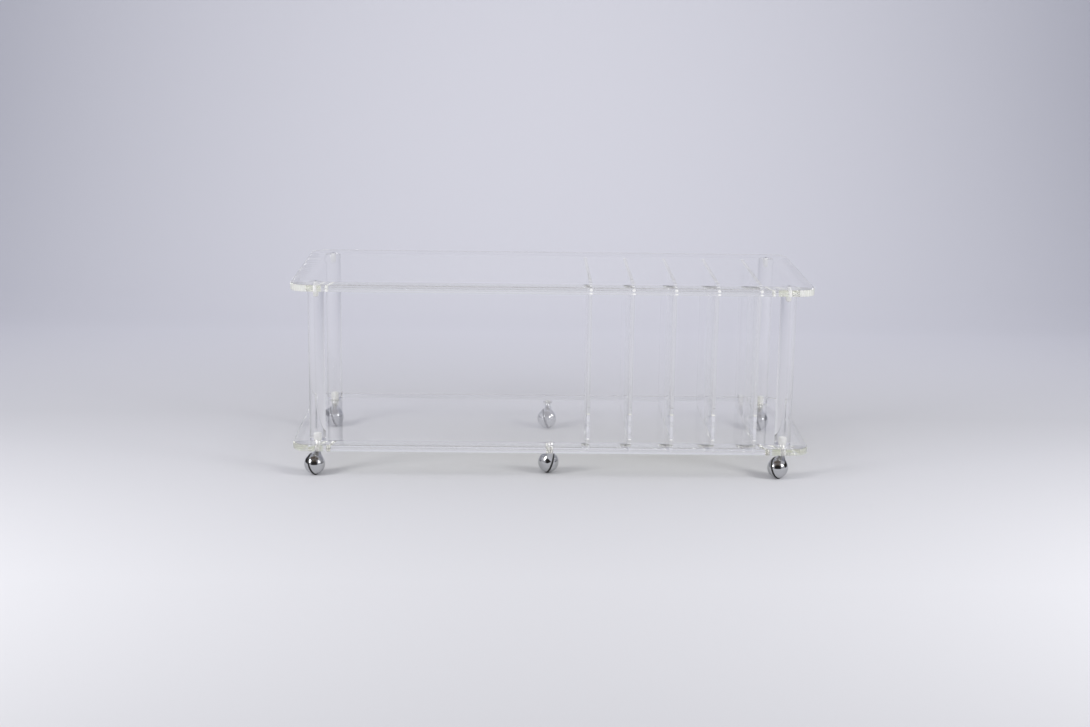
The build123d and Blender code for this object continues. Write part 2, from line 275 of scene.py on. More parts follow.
def clear_acrylic(name, grain_turn, upright_shadow):
    """Clear acrylic with faint waves from casting, hairline scratches and handling marks.
    Its upright faces bend the light aside, so that they throw a shadow of their own."""
    material, wire = new_finish(name)
    place = object_place(wire)
    waves = noise(wire, place, CASTING_WAVES, 1.0)
    hairlines = fade(wire, streaks(wire, place, HAIRLINES, 3.0, grain_turn), 0.66, 0.74)
    crossing = fade(wire, streaks(wire, place, CROSSING_LINES, 3.0, grain_turn), 0.68, 0.76)
    scratches = hairlines + crossing
    smears = fade(wire, noise(wire, place, HAND_SMEARS, 4.0, 0.6), 0.48, 0.72)
    body = wire.node("ShaderNodeBsdfPrincipled", None, {
        "Base Color": (1.0, 1.0, 1.0, 1.0),
        "Transmission Weight": 1.0,
        "IOR": ACRYLIC_IOR,
        "Roughness": POLISHED_ROUGH + smears * SMEAR_ROUGH + scratches * SCRATCH_ROUGH,
        "Normal": bump(wire, waves * RELIEF - scratches * RELIEF, RELIEF_DEPTH)})
    facing = wire.node("ShaderNodeNewGeometry", None, None, "True Normal")
    upward = wire.node("ShaderNodeSeparateXYZ", None, {0: facing}, "Z")
    through_face = wire.node("ShaderNodeBsdfTransparent", None, {"Color": ACRYLIC_SHADOW})
    through_edge = wire.node("ShaderNodeBsdfTransparent", None, {"Color": upright_shadow})
    level = upward * upward > LEVEL_FACE
    passing = wire.node("ShaderNodeMixShader", None, {0: level, 1: through_edge, 2: through_face})
    surface = wire.node("ShaderNodeMixShader", None, {0: lights_room(wire), 1: body, 2: passing})
    inside = wire.node(
        "ShaderNodeVolumeAbsorption", None, {"Color": ACRYLIC_TINT, "Density": ACRYLIC_DENSITY})
    wire.node("ShaderNodeOutputMaterial", None, {"Surface": surface, "Volume": inside})
    return material


DRILLED_WHITE = (0.99, 0.99, 0.99, 1.0)
DRILLED_SHADOW = (0.9, 0.9, 0.9, 1.0)
DRILL_CHATTER = (300.0, 300.0, 2600.0)
DRILL_DEPTH = 0.3 * MM
DRILL_ROUGH = 0.3


def drilled_acrylic(name, clearness, rough):
    """The wall of a drilled hole, left white and frosted by the drill."""
    material, wire = new_finish(name)
    chatter = streaks(wire, object_place(wire), DRILL_CHATTER, 3.0)
    body = wire.node("ShaderNodeBsdfPrincipled", None, {
        "Base Color": DRILLED_WHITE,
        "Transmission Weight": clearness,
        "IOR": ACRYLIC_IOR,
        "Roughness": rough + chatter * DRILL_ROUGH,
        "Normal": bump(wire, chatter, DRILL_DEPTH)})
    passing = wire.node("ShaderNodeBsdfTransparent", None, {"Color": DRILLED_SHADOW})
    surface = wire.node("ShaderNodeMixShader", None, {0: lights_room(wire), 1: body, 2: passing})
    wire.node("ShaderNodeOutputMaterial", None, {"Surface": surface})
    return material


# Painted highlight: the white of the rounded corners stands in for lamp light caught in them, over a sanded
# haze.
PAINTED_HIGHLIGHT_WHITE = (0.99, 0.99, 0.98, 1.0)
SANDED_SHADOW = (0.7, 0.7, 0.69, 1.0)
ROUTER_CHATTER = (420.0, 420.0, 12.0)
ROUTER_DEPTH = 0.4 * MM
SANDING_HAZE = 160.0
HAZE_ROUGH = 0.1


def sanded_highlight_acrylic(name, clearness, rough):
    """A corner rounded with a router and sanded, and whitened in upright bands: a painted highlight for lamp
    light caught in it.
    """
    material, wire = new_finish(name)
    place = object_place(wire)
    chatter = streaks(wire, place, ROUTER_CHATTER, 2.0)
    haze = noise(wire, place, SANDING_HAZE, 3.0)
    body = wire.node("ShaderNodeBsdfPrincipled", None, {
        "Base Color": PAINTED_HIGHLIGHT_WHITE,
        "Transmission Weight": clearness,
        "IOR": ACRYLIC_IOR,
        "Roughness": rough + fade(wire, chatter, 0.4, 0.6) * 2 * rough + haze * HAZE_ROUGH,
        "Normal": bump(wire, chatter, ROUTER_DEPTH)})
    passing = wire.node("ShaderNodeBsdfTransparent", None, {"Color": SANDED_SHADOW})
    surface = wire.node("ShaderNodeMixShader", None, {0: lights_room(wire), 1: body, 2: passing})
    inside = wire.node(
        "ShaderNodeVolumeAbsorption", None, {"Color": ACRYLIC_TINT, "Density": ACRYLIC_DENSITY})
    wire.node("ShaderNodeOutputMaterial", None, {"Surface": surface, "Volume": inside})
    return material


PANEL_GRAIN = (0.0, 0.0, 0.5)
PANEL_EDGE_SHADOW = (0.45, 0.45, 0.44, 1.0)
panel_acrylic = clear_acrylic("panel_acrylic", PANEL_GRAIN, PANEL_EDGE_SHADOW)
tapped_wall = drilled_acrylic("tapped_wall", clearness=0.8, rough=0.15)
# The base panel's corners carry a faint painted highlight of white.
rubbed_corner_highlight = sanded_highlight_acrylic("rubbed_corner_highlight", clearness=0.88, rough=0.06)

STEM_HOLE_RADIUS = 5.0 * MM
MIDDLE_HOLE_ROOF = 2.0 * MM
POST_PLACES = {}
for corner in ("front_left", "front_right", "rear_left", "rear_right"):
    post_low, post_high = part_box(f"post_{corner}")
    POST_PLACES[corner] = (post_low + post_high) / 2
MIDDLE_Y = POST_PLACES["rear_left"].y
base_low, base_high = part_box("base_panel")
stem_hole_foot = (STEM_HOLE_RADIUS, base_low.z)
stem_holes = []
for place in POST_PLACES.values():
    stem_holes.append(((place.x, place.y), [stem_hole_foot, (STEM_HOLE_RADIUS, base_high.z)]))
for y in (-MIDDLE_Y, MIDDLE_Y):
    stem_holes.append(((0.0, y), [stem_hole_foot, (STEM_HOLE_RADIUS, base_high.z - MIDDLE_HOLE_ROOF)]))
base_sheet = cut_sheet("base_sheet", base_low, base_high, stem_holes)
base_sheet.data.materials.append(panel_acrylic)
base_sheet.data.materials.append(tapped_wall)
base_sheet.data.materials.append(rubbed_corner_highlight)
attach(base_sheet, "rack")
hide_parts("base_panel")

# Caster stems: turned steel, threaded above the flange that bears on the base panel.
# Below it a plain journal runs in the nylon bush and ends in a riveted head.
STEM_RADIUS = 4.75 * MM
STEM_TIP = 1.0 * MM
FLANGE_RADIUS = 10.0 * MM
FLANGE_THICKNESS = 2.5 * MM
FLANGE_EDGE = 0.4 * MM
JOURNAL_RADIUS = 3.0 * MM
RIVET_RADIUS = 3.7 * MM
RIVET_THICKNESS = 1.6 * MM
SEAT_GAP = 0.03 * MM
THREAD_PITCH = 1.25 * MM
THREAD_DEPTH = 0.45 * MM
TURNED_STEPS = 64
CASTER_NAMES = ("front_left", "front_middle", "front_right", "rear_left", "rear_middle", "rear_right")


def turned(name, profile, steps, slots=None):
    """A piece turned about the Z axis from (radius, height) points, with a material slot for each step."""
    work = bmesh.new()
    rings = []
    for radius, height in profile:
        if radius < TINY:
            rings.append([work.verts.new((0.0, 0.0, height))])
        else:
            rings.append(ring(work, 0.0, 0.0, radius, height, steps))
    for lower, upper, slot in zip(rings, rings[1:], slots or [0] * len(rings)):
        if len(lower) == 1 or len(upper) == 1:
            tip, rim = (lower, upper) if len(lower) == 1 else (upper, lower)
            for i in range(steps):
                face = work.faces.new((rim[i], rim[(i + 1) % steps], tip[0]))
                face.material_index = slot
        else:
            join_rings(work, lower, upper, slot)
    bmesh.ops.recalc_face_normals(work, faces=work.faces)
    return finished_mesh(work, name)


def threaded(radius, depth, start, end):
    """Points along a thread between two heights. A positive depth cuts out into a hole, a negative one in
    to a rod."""
    points = [(radius, start)]
    way = 1 if end > start else -1
    half_pitch = way * THREAD_PITCH / 2
    for turn in range(int(abs(end - start) / THREAD_PITCH) - 1):
        crest = start + way * THREAD_PITCH * (turn + 0.5)
        points.append((radius, crest))
        points.append((radius + depth, crest + half_pitch))
    points.append((radius, points[-1][1] + half_pitch))
    points.append((radius, end))
    return points


WORN_PLATING = (0.30, 0.27, 0.24, 1.0)
FINGER_SMEARS = 90.0
POLISHING_LINES = (300.0, 300.0, 4000.0)
POLISHING_TURN = (0.4, 0.2, 0.0)
POLISHING_DEPTH = 0.0004 * MM
WORN_SPECKS = 900.0
SMEARED_ROUGH = 0.06
WORN_ROUGH = 0.2


def mixed(wire, share, first, second):
    """One colour that fades into another."""
    return wire.node(
        "ShaderNodeMix", {"data_type": "RGBA"}, {"Factor": share, "A": first, "B": second}, "Result")


def plated(name, colour, rough, wear):
    """Bright plating with fine polishing lines, finger smears and a few worn specks."""
    material, wire = new_finish(name)
    place = object_place(wire)
    smears = fade(wire, noise(wire, place, FINGER_SMEARS, 4.0, 0.6), 0.45, 0.75)
    lines = streaks(wire, place, POLISHING_LINES, 2.0, POLISHING_TURN)
    specks = fade(wire, noise(wire, place, WORN_SPECKS, 3.0), 0.68, 0.74)
    body = wire.node("ShaderNodeBsdfPrincipled", None, {
        "Base Color": mixed(wire, specks * wear, colour, WORN_PLATING),
        "Metallic": 1.0,
        "Roughness": rough + smears * SMEARED_ROUGH + specks * WORN_ROUGH * wear,
        "Normal": bump(wire, lines, POLISHING_DEPTH)})
    wire.node("ShaderNodeOutputMaterial", None, {"Surface": body})
    return material


STEEL = (0.62, 0.61, 0.59, 1.0)
bare_steel = plated("bare_steel", STEEL, rough=0.2, wear=0.5)
CASTER_PLACES = {}
for joint in frame["joints"]:
    caster, motion = joint["name"].rsplit("_", 1)
    if motion == "swivel":
        CASTER_PLACES[caster] = [joint["pos_m"]]
    else:
        CASTER_PLACES[caster].append(math.atan2(joint["axis"][0], -joint["axis"][1]))
        wheel_centre_z = joint["pos_m"][2]


def set_caster_piece(part, caster, mesh, body):
    """Places one caster's copy of a piece drawn with the stem on Z and the wheel trailing towards +X."""
    piece = link_piece(f"{part}_{caster}", mesh)
    (x, y, _), turn = CASTER_PLACES[caster]
    piece.matrix_world = Matrix.Translation((x, y, 0.0)) @ Matrix.Rotation(turn, 4, "Z")
    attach(piece, body)
    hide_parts(f"caster_{caster}_{part}")


for caster in CASTER_NAMES:
    low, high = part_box(f"caster_{caster}_stem")
    seat = base_low.z - SEAT_GAP
    flange_bottom = base_low.z - FLANGE_THICKNESS
    rivet_top = low.z + RIVET_THICKNESS
    profile = [(0.0, high.z), (STEM_RADIUS - STEM_TIP, high.z)]
    profile += threaded(STEM_RADIUS, -THREAD_DEPTH, high.z - STEM_TIP, seat)
    profile += [
        (FLANGE_RADIUS - FLANGE_EDGE, seat), (FLANGE_RADIUS, seat - FLANGE_EDGE),
        (FLANGE_RADIUS, flange_bottom + FLANGE_EDGE), (FLANGE_RADIUS - FLANGE_EDGE, flange_bottom),
        (JOURNAL_RADIUS, flange_bottom), (JOURNAL_RADIUS, rivet_top), (RIVET_RADIUS, rivet_top),
        (RIVET_RADIUS, low.z + FLANGE_EDGE), (RIVET_RADIUS - FLANGE_EDGE, low.z), (0.0, low.z)]
    stem_mesh = turned(f"stem_{caster}", profile, TURNED_STEPS)
    stem_mesh.materials.append(bare_steel)
    set_caster_piece("stem", caster, stem_mesh, "rack")

# Bushes: white nylon sleeves with a flange, moulded in one piece and pressed into the neck of each hood.
# The steel stems turn in them, so that metal never runs on metal.
nodes = frame["nodes"]
MOULDED_MOTTLE = 120.0
MOULDED_GRAIN = 2600.0
MOTTLE_ROUGH = 0.2


def moulded(name, colour, other, rough, grain):
    """Moulded plastic or rubber with a slight mottle and a fine matt surface."""
    material, wire = new_finish(name)
    place = object_place(wire)
    mottle = noise(wire, place, MOULDED_MOTTLE, 4.0, 0.6)
    texture = noise(wire, place, MOULDED_GRAIN, 2.0)
    body = wire.node("ShaderNodeBsdfPrincipled", None, {
        "Base Color": mixed(wire, fade(wire, mottle, 0.35, 0.75), colour, other),
        "Roughness": rough + (mottle - 0.5) * MOTTLE_ROUGH,
        "Normal": bump(wire, texture, grain)})
    wire.node("ShaderNodeOutputMaterial", None, {"Surface": body})
    return material


def dress(node, material):
    """Gives a CAD node its finish."""
    nodes[node].data.materials.clear()
    nodes[node].data.materials.append(material)


WHITE_NYLON = (0.78, 0.76, 0.70, 1.0)
AGED_NYLON = (0.70, 0.67, 0.58, 1.0)
NYLON_GRAIN = 0.02 * MM
bush_nylon = moulded("bush_nylon", WHITE_NYLON, AGED_NYLON, 0.42, NYLON_GRAIN)
for caster in CASTER_NAMES:
    dress(f"caster_{caster}_bush", bush_nylon)

# Hoods: die cast domed shells, polished and chrome plated, on the inner side of each wheel.
# A neck flows out of the shell for the stem's bush, and a boss inside it holds the axle.
# The casting is worked out on a grid of millimetres, so that these sizes are in millimetres.
TRAIL = 15.0
WHEEL_HEIGHT = wheel_centre_z / MM
AXLE_TILT = math.radians(18.0)
HOOD_RADIUS = 21.2
HOOD_HEIGHT = 20.5
HOOD_SHOULDER = 17.6
HOOD_WALL = 2.0
HOOD_FACE = 0.45
BOSS_RADIUS = 5.5
AXLE_RADIUS = 2.5
AXLE_IN_HOOD = 13.0
NECK_RADIUS = 5.3
NECK_TOP = 52.0
NECK_DROP = 26.0
NECK_BORE = 3.95
NECK_BORE_BOTTOM = 37.3
FLARE_TIP = 4.5
FLARE_TIP_DROP = 3.0
FLARE_WIDE = 12.0
FLARE_WIDE_FROM_CENTRE = (-4.5, 2.0, 7.0)
CAST_FILLET = 5.0
RIM_EDGE = 0.5
GRID_LOW = (-8.0, -9.0, -1.0)
GRID_HIGH = (38.0, 23.0, 54.0)
CELL = 0.5
SLOPE_STEP = 0.02
LEAST_SLOPE = 0.2
EVENED_PASSES = (True, True, True, False, False)
DRAWS_PER_PASS = 3


def blended(first, second, fillet):
    """Joins two distances with a fillet between them."""
    share = np.clip(0.5 + 0.5 * (second - first) / fillet, 0.0, 1.0)
    return second * (1 - share) + first * share - fillet * share * (1 - share)


def trimmed(first, second, edge):
    """Keeps what lies in both distances, with a rounded edge where they meet."""
    return -blended(-first, -second, edge)


def dome_arcs(radius, height, shoulder):
    """The shoulder's distance from the axle, and the crown's radius and centre height, of a domed section."""
    shoulder_x = radius - shoulder
    crown = (shoulder_x**2 + height**2 - shoulder**2) / (2 * (height - shoulder))
    return shoulder_x, crown, height - crown


def tapered_distance(points, start, end, start_radius, end_radius):
    """Distance from a round bar whose radius changes from one end to the other."""
    line = end - start
    along = np.clip((points - start) @ line / (line @ line), 0.0, 1.0)
    reach = np.linalg.norm(points - start - along[:, None] * line, axis=1)
    return reach - (start_radius + along * (end_radius - start_radius))


def hood_distance(points):
    """Distance in millimetres from the hood's casting, negative in the metal."""
    inward = np.array((0.0, math.cos(AXLE_TILT), math.sin(AXLE_TILT)))
    centre = np.array((TRAIL, 0.0, WHEEL_HEIGHT))
    from_centre = points - centre
    along = from_centre @ inward
    out = np.linalg.norm(from_centre - along[:, None] * inward, axis=1)
    shoulder_x, crown, crown_y = dome_arcs(HOOD_RADIUS, HOOD_HEIGHT, HOOD_SHOULDER)
    on_crown = out * -crown_y < shoulder_x * (along - crown_y)
    crown_distance = np.hypot(out, along - crown_y) - crown
    shoulder_distance = np.hypot(out - shoulder_x, along) - HOOD_SHOULDER
    dome = np.where(on_crown, crown_distance, shoulder_distance)
    flare_start = centre + np.array(FLARE_WIDE_FROM_CENTRE)
    flare_end = np.array((0.0, 0.0, NECK_TOP - FLARE_TIP_DROP))
    flare = tapered_distance(points, flare_start, flare_end, FLARE_WIDE, FLARE_TIP)
    neck_end = np.array((0.0, 0.0, NECK_TOP - NECK_DROP))
    neck_start = np.array((0.0, 0.0, NECK_TOP + NECK_RADIUS))
    neck = tapered_distance(points, neck_end, neck_start, NECK_RADIUS, NECK_RADIUS)
    casting = blended(blended(dome, flare, CAST_FILLET), neck, CAST_FILLET / 2)
    casting = np.maximum(casting, -(dome + HOOD_WALL))
    casting = np.minimum(casting, np.maximum(out - BOSS_RADIUS, along - (HOOD_HEIGHT - HOOD_WALL)))
    casting = trimmed(casting, HOOD_FACE - along, RIM_EDGE)
    casting = trimmed(casting, points[:, 2] - NECK_TOP, RIM_EDGE)
    casting = np.maximum(casting, -np.maximum(out - AXLE_RADIUS, along - HOOD_FACE - AXLE_IN_HOOD))
    bore = np.maximum(np.hypot(points[:, 0], points[:, 1]) - NECK_BORE, NECK_BORE_BOTTOM - points[:, 2])
    return np.maximum(casting, -bore)


def evened(points, quads):
    """Moves each point to the middle of those that share an edge with it."""
    total = np.zeros_like(points)
    count = np.zeros(len(points))
    for side in range(4):
        near, far = quads[:, side], quads[:, side - 1]
        np.add.at(total, near, points[far])
        np.add.at(total, far, points[near])
        np.add.at(count, near, 1)
        np.add.at(count, far, 1)
    return total / count[:, None]


def drawn_on(points, distance):
    """Moves points along the slope of a distance, on to the surface where it is zero."""
    steps = np.eye(3) * SLOPE_STEP
    rises = [distance(points + step) - distance(points - step) for step in steps]
    slope = np.stack(rises, 1) / (2 * SLOPE_STEP)
    reach = distance(points) / np.maximum((slope**2).sum(1), LEAST_SLOPE)
    return points - np.clip(reach, -CELL / 2, CELL / 2)[:, None] * slope


def skinned(name, distance, low, high):
    """Mesh of the surface where a distance is zero: a point in each grid cell it crosses, drawn on to it."""
    axes = [np.arange(start, end, CELL) for start, end in zip(low, high)]
    grid = np.stack(np.meshgrid(*axes, indexing="ij"), -1)
    inside = (distance(grid.reshape(-1, 3)) < 0).reshape(grid.shape[:3])
    corners = sum(
        inside[i:inside.shape[0] - 1 + i, j:inside.shape[1] - 1 + j, k:inside.shape[2] - 1 + k].astype(int)
        for i in (0, 1) for j in (0, 1) for k in (0, 1))
    crossed = (corners > 0) & (corners < 8)
    number = np.full(crossed.shape, -1)
    number[crossed] = np.arange(crossed.sum())
    points = grid[:-1, :-1, :-1][crossed] + CELL / 2
    quads = []
    for axis in range(3):
        side_in = np.moveaxis(inside, axis, 0)
        cell = np.moveaxis(number, axis, 0)
        i, j, k = np.nonzero(side_in[:-1, 1:-1, 1:-1] != side_in[1:, 1:-1, 1:-1])
        round_edge = [cell[i, j, k], cell[i, j + 1, k], cell[i, j + 1, k + 1], cell[i, j, k + 1]]
        quads.append(np.stack(round_edge, 1))
    quads = np.concatenate(quads)
    for is_evened in EVENED_PASSES:
        if is_evened:
            points = evened(points, quads)
        for _ in range(DRAWS_PER_PASS):
            points = drawn_on(points, distance)
    mesh = bpy.data.meshes.new(name)
    mesh.from_pydata((points * MM).tolist(), [], quads.tolist())
    work = bmesh.new()
    work.from_mesh(mesh)
    bmesh.ops.recalc_face_normals(work, faces=work.faces)
    work.to_mesh(mesh)
    work.free()
    return mesh


CHROME = (0.58, 0.585, 0.595, 1.0)
caster_chrome = plated("caster_chrome", CHROME, rough=0.03, wear=0.3)
hood_mesh = skinned("hood", hood_distance, GRID_LOW, GRID_HIGH)
hood_mesh.materials.append(caster_chrome)
for caster in CASTER_NAMES:
    set_caster_piece("hood", caster, hood_mesh, f"swivel_{caster}")

# Wheels: a black nylon core with a thin rubber tyre round its rim, turning on a steel axle pin.
# A pressed and chrome plated dome is snapped over the outer side, dimpled in the middle.
# Its sizes are in millimetres, as the hood's are.
DOME_RADIUS = 21.2
DOME_HEIGHT = 20.5
DOME_SHOULDER = 18.4
DOME_WALL = 1.2
DOME_FACE = 3.25
DIMPLE_RADIUS = 2.0
DIMPLE_FLOOR_RADIUS = 1.6
DIMPLE_DEPTH = 0.5
ARC_STEPS = 28
DOME_STEPS = 128


def dome_profile(inset):
    """Points from a dome's rim to its crown, set in from the outside."""
    shoulder_x, crown, crown_y = dome_arcs(DOME_RADIUS, DOME_HEIGHT, DOME_SHOULDER)
    blend = math.atan2(-crown_y, shoulder_x)
    rim = math.asin(DOME_FACE / (DOME_SHOULDER - inset))
    points = []
    for step in range(ARC_STEPS + 1):
        angle = rim + (blend - rim) * step / ARC_STEPS
        reach = DOME_SHOULDER - inset
        points.append((shoulder_x + reach * math.cos(angle), reach * math.sin(angle)))
    for step in range(1, ARC_STEPS + 1):
        angle = blend + (QUARTER_TURN - blend) * step / ARC_STEPS
        reach = crown - inset
        points.append((reach * math.cos(angle), crown_y + reach * math.sin(angle)))
    points[-1] = (0.0, points[-1][1])
    return points


dimple_floor = DOME_HEIGHT - DIMPLE_DEPTH
outside = [(radius, height) for radius, height in dome_profile(0.0) if radius > DIMPLE_RADIUS]
outside += [(DIMPLE_RADIUS, outside[-1][1]), (DIMPLE_FLOOR_RADIUS, dimple_floor), (0.0, dimple_floor)]
profile = [(radius * MM, height * MM) for radius, height in outside[::-1] + dome_profile(DOME_WALL)]
dome_mesh = turned("dome", profile, DOME_STEPS)
axle_turn = Matrix((
    (1.0, 0.0, 0.0),
    (0.0, -math.sin(AXLE_TILT), -math.cos(AXLE_TILT)),
    (0.0, math.cos(AXLE_TILT), -math.sin(AXLE_TILT))))
dome_mesh.transform(Matrix.Translation((TRAIL * MM, 0.0, WHEEL_HEIGHT * MM)) @ axle_turn.to_4x4())
dome_mesh.materials.append(caster_chrome)
BLACK_NYLON = (0.035, 0.034, 0.034, 1.0)
RUBBED_NYLON = (0.06, 0.058, 0.055, 1.0)
BLACK_RUBBER = (0.014, 0.014, 0.014, 1.0)
DUSTY_RUBBER = (0.035, 0.034, 0.032, 1.0)
RUBBER_GRAIN = 0.04 * MM
wheel_nylon = moulded("wheel_nylon", BLACK_NYLON, RUBBED_NYLON, 0.4, NYLON_GRAIN)
tyre_rubber = moulded("tyre_rubber", BLACK_RUBBER, DUSTY_RUBBER, 0.62, RUBBER_GRAIN)
for caster in CASTER_NAMES:
    set_caster_piece("dome", caster, dome_mesh, f"wheel_{caster}")
    dress(f"caster_{caster}_core", wheel_nylon)
    dress(f"caster_{caster}_tyre", tyre_rubber)
    dress(f"caster_{caster}_axle", bare_steel)

# Posts: four cast acrylic rods, faced and polished, standing on the base panel over the corner casters.
# Both ends are drilled and tapped, for the caster's stem below and the top panel's screw above.
POST_STEPS = 96
POST_ARRIS = 0.6 * MM
JOINT_GAP = 0.03 * MM
SCREW_HOLE_RADIUS = 3.25 * MM
STEM_HOLE_DEPTH = 14.0 * MM
SCREW_HOLE_DEPTH = 16.0 * MM
DRILL_CONE = 2.0 * MM
POST_GRAIN = (0.0, 1.57, 0.0)
POST_SHADOW = (0.8, 0.8, 0.79, 1.0)

post_acrylic = clear_acrylic("post_acrylic", POST_GRAIN, POST_SHADOW)
drilled_wall = drilled_acrylic("drilled_wall", clearness=0.0, rough=0.5)
for corner, place in POST_PLACES.items():
    low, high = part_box(f"post_{corner}")
    radius = (high.x - low.x) / 2
    foot = low.z + JOINT_GAP
    head = high.z - JOINT_GAP
    stem_wall = threaded(STEM_HOLE_RADIUS, THREAD_DEPTH, foot, foot + STEM_HOLE_DEPTH)
    screw_wall = threaded(SCREW_HOLE_RADIUS, THREAD_DEPTH, head, head - SCREW_HOLE_DEPTH)
    inside_low = [(0.0, foot + STEM_HOLE_DEPTH + DRILL_CONE)] + stem_wall[::-1]
    outside = [
        (radius - POST_ARRIS, foot), (radius, foot + POST_ARRIS),
        (radius, head - POST_ARRIS), (radius - POST_ARRIS, head)]
    inside_high = screw_wall + [(0.0, head - SCREW_HOLE_DEPTH - DRILL_CONE)]
    profile = inside_low + outside + inside_high
    slots = [HOLE_SLOT] * (len(inside_low) - 1) + [0] * (len(outside) + 1)
    slots += [HOLE_SLOT] * (len(inside_high) - 1)
    rod = link_piece(f"rod_{corner}", turned(f"rod_{corner}", profile, POST_STEPS, slots))
    rod.data.transform(Matrix.Translation((place.x, place.y, 0.0)))
    rod.data.materials.append(post_acrylic)
    rod.data.materials.append(drilled_wall)
    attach(rod, "rack")
    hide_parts(f"post_{corner}")

# Dividers: five upright sheets of quarter inch acrylic that make the magazine slots.
# They stand front to back between the two panels, cemented along their top and bottom edges.
# The cement fills the joints so that they vanish, and has set white in a drop at each end.
DIVIDER_NUMBERS = (1, 2, 3, 4, 5)
DIVIDER_ARRIS = 0.5 * MM
ROUND_PROFILE = 0.5
DIVIDER_GRAIN = (1.57, 0.0, 0.3)
CEMENT_BITE = 0.05 * MM
DROP_SIZE = (3.4 * MM, 2.6 * MM, 1.5 * MM)
DROP_RINGS = 10
DROP_STEPS = 24
CEMENT_WHITE = (0.96, 0.96, 0.96, 1.0)
CEMENT_BUBBLES = 1400.0
BUBBLE_DEPTH = 0.2 * MM
BUBBLE_ROUGH = 0.4
divider_acrylic = clear_acrylic("divider_acrylic", DIVIDER_GRAIN, ACRYLIC_SHADOW)


def set_cement(name, rough):
    """Solvent cement that has skinned over white, with small bubbles in it."""
    material, wire = new_finish(name)
    bubbles = noise(wire, object_place(wire), CEMENT_BUBBLES, 3.0)
    body = wire.node("ShaderNodeBsdfPrincipled", None, {
        "Base Color": CEMENT_WHITE,
        "Roughness": rough + bubbles * BUBBLE_ROUGH,
        "Normal": bump(wire, bubbles, BUBBLE_DEPTH)})
    wire.node("ShaderNodeOutputMaterial", None, {"Surface": body})
    return material


white_cement = set_cement("white_cement", rough=0.2)
for number in DIVIDER_NUMBERS:
    low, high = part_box(f"divider_{number}")
    work = bmesh.new()
    bmesh.ops.create_cube(work, size=1.0)
    size = high - low + Vector((0.0, 0.0, 2 * CEMENT_BITE))
    middle = (low + high) / 2
    sheet_place = Matrix.Translation(middle) @ Matrix.Diagonal((*size, 1.0))
    bmesh.ops.transform(work, matrix=sheet_place, verts=work.verts)
    uprights = [e for e in work.edges if abs(e.verts[0].co.z - e.verts[1].co.z) > size.z / 2]
    bmesh.ops.bevel(
        work, geom=uprights, offset=DIVIDER_ARRIS, segments=ARRIS_STEPS,
        profile=ROUND_PROFILE, affect="EDGES")
    slot_sheet = link_piece(f"slot_sheet_{number}", finished_mesh(work, f"slot_sheet_{number}"))
    slot_sheet.data.materials.append(divider_acrylic)
    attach(slot_sheet, "rack")
    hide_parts(f"divider_{number}")
    work = bmesh.new()
    for y in (low.y, high.y):
        for z in (low.z, high.z):
            drop_place = Matrix.Translation((middle.x, y, z)) @ Matrix.Diagonal((*DROP_SIZE, 1.0))
            bmesh.ops.create_uvsphere(
                work, u_segments=DROP_STEPS, v_segments=DROP_RINGS, radius=1.0, matrix=drop_place)
    cement = link_piece(f"cement_{number}", finished_mesh(work, f"cement_{number}"))
    cement.data.materials.append(white_cement)
    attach(cement, "rack")

# Top panel: the upper sheet of clear acrylic, cut to the same outline as the base.
# It is drilled and countersunk over each post for a flush screw, and its corners are left sanded and whitened
# as a painted highlight.
SCREW_HEAD_RADIUS = 5.75 * MM
SCREW_HEAD_LAND = 0.5 * MM
SCREW_CONE = 2.75 * MM
# The top panel's corners carry a strong painted highlight of white.
sanded_corner_highlight = sanded_highlight_acrylic("sanded_corner_highlight", clearness=0.55, rough=0.16)
top_low, top_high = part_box("top_panel")
head_bottom = top_high.z - SCREW_HEAD_LAND
screw_steps = [
    (SCREW_HOLE_RADIUS, top_low.z), (SCREW_HOLE_RADIUS, head_bottom - SCREW_CONE),
    (SCREW_HEAD_RADIUS, head_bottom), (SCREW_HEAD_RADIUS, top_high.z)]
screw_holes = [((place.x, place.y), screw_steps) for place in POST_PLACES.values()]
top_sheet = cut_sheet("top_sheet", top_low, top_high, screw_holes)
top_sheet.data.materials.append(panel_acrylic)
top_sheet.data.materials.append(drilled_wall)
top_sheet.data.materials.append(sanded_corner_highlight)
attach(top_sheet, "rack")
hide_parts("top_panel")

# Screws: four bright countersunk steel screws with hexagon sockets, plated as the casters are.
# They lie flush with the top panel and are turned down into the posts.
dress("top_screws", caster_chrome)

# Studio: a pale lavender grey paper sweep whose colour carries painted light and shade: darker towards its
# sides and the camera, a painted shadow near the rack, and lighter up the back.
# Two large soft lamps stand at the front corners, and dim glowing cards in front and at the sides paint dark
# reflections of a room, with a brown ceiling.
# The back of the paper isn't seen, so that it never hides the rack.
SWEEP_FRONT = -40.0
SWEEP_BEND = 1.3
SWEEP_RADIUS = 1.6
SWEEP_TOP = 6.0
SWEEP_HALF = 40.0
SWEEP_STEPS = 24
PAPER_FRONT = -2.0
PAPER_BACK = 1.2
